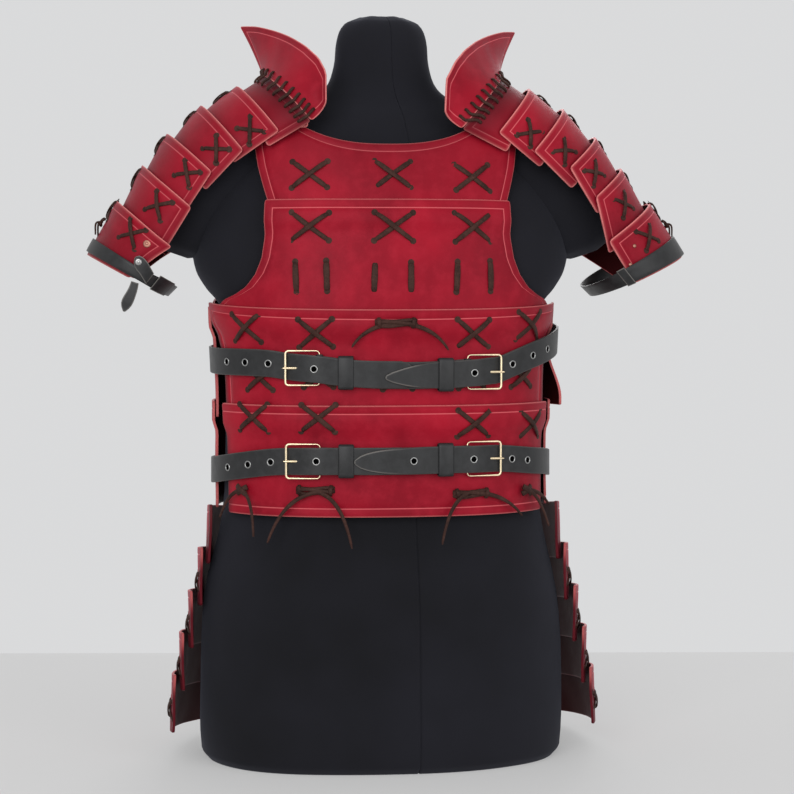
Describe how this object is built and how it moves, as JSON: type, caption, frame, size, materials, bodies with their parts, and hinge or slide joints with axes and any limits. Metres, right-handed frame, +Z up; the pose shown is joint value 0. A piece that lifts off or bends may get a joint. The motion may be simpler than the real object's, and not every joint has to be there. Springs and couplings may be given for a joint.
{
  "type": "samurai armour on a limbless dress form",
  "caption": "Laced leather samurai armour with neck guards, shoulder and hip lames and two buckled belts, worn by a limbless dress form.",
  "frame": {"origin": "middle of the dress form's flat base, on the floor", "axes": "+Z up, front of the armour towards -Y, the wearer's left hand towards +X"},
  "size_m": [0.8111, 0.3277, 0.994],
  "materials": {
    "red_leather": "crimson vegetable-tanned leather, soft sheen, tooled lines",
    "black_leather": "black strap leather, soft sheen",
    "pale_brass": "pale polished brass",
    "brown_lace": "dark brown flat lace, dull",
    "form_cloth": "black covering cloth, matt"
  },
  "bodies": {
    "root": {"front_lame_1": "red_leather", "front_lame_2": "red_leather", "front_lame_3": "red_leather", "front_lame_4": "red_leather", "back_lame_1": "red_leather", "back_lame_2": "red_leather", "back_lame_3": "red_leather", "back_lame_4": "red_leather", "shoulder_strap_left": "red_leather", "shoulder_strap_right": "red_leather", "cap_left": "red_leather", "arm_lame_1_left": "red_leather", "arm_lame_2_left": "red_leather", "arm_lame_3_left": "red_leather", "arm_lame_4_left": "red_leather", "arm_lame_5_left": "red_leather", "neck_guard_left": "red_leather", "hip_lame_1_left": "red_leather", "hip_lame_2_left": "red_leather", "hip_lame_3_left": "red_leather", "hip_lame_4_left": "red_leather", "hip_lame_5_left": "red_leather", "cap_right": "red_leather", "arm_lame_1_right": "red_leather", "arm_lame_2_right": "red_leather", "arm_lame_3_right": "red_leather", "arm_lame_4_right": "red_leather", "arm_lame_5_right": "red_leather", "neck_guard_right": "red_leather", "hip_lame_1_right": "red_leather", "hip_lame_2_right": "red_leather", "hip_lame_3_right": "red_leather", "hip_lame_4_right": "red_leather", "hip_lame_5_right": "red_leather", "belt_upper_left": "black_leather", "belt_upper_right": "black_leather", "belt_upper_centre": "black_leather", "belt_lower_left": "black_leather", "belt_lower_right": "black_leather", "belt_lower_centre": "black_leather", "keeper_upper_left": "black_leather", "keeper_upper_right": "black_leather", "keeper_lower_left": "black_leather", "keeper_lower_right": "black_leather", "arm_strap_left": "black_leather", "arm_strap_right": "black_leather", "arm_strap_end_left": "black_leather", "buckle_upper_left": "pale_brass", "buckle_upper_right": "pale_brass", "buckle_lower_left": "pale_brass", "buckle_lower_right": "pale_brass", "bow_hem_1": "brown_lace", "bow_hem_2": "brown_lace", "bow_hem_3": "brown_lace", "bow_hem_4": "brown_lace", "bow_chest": "brown_lace", "dress_form": "form_cloth"}
  },
  "joints": []
}
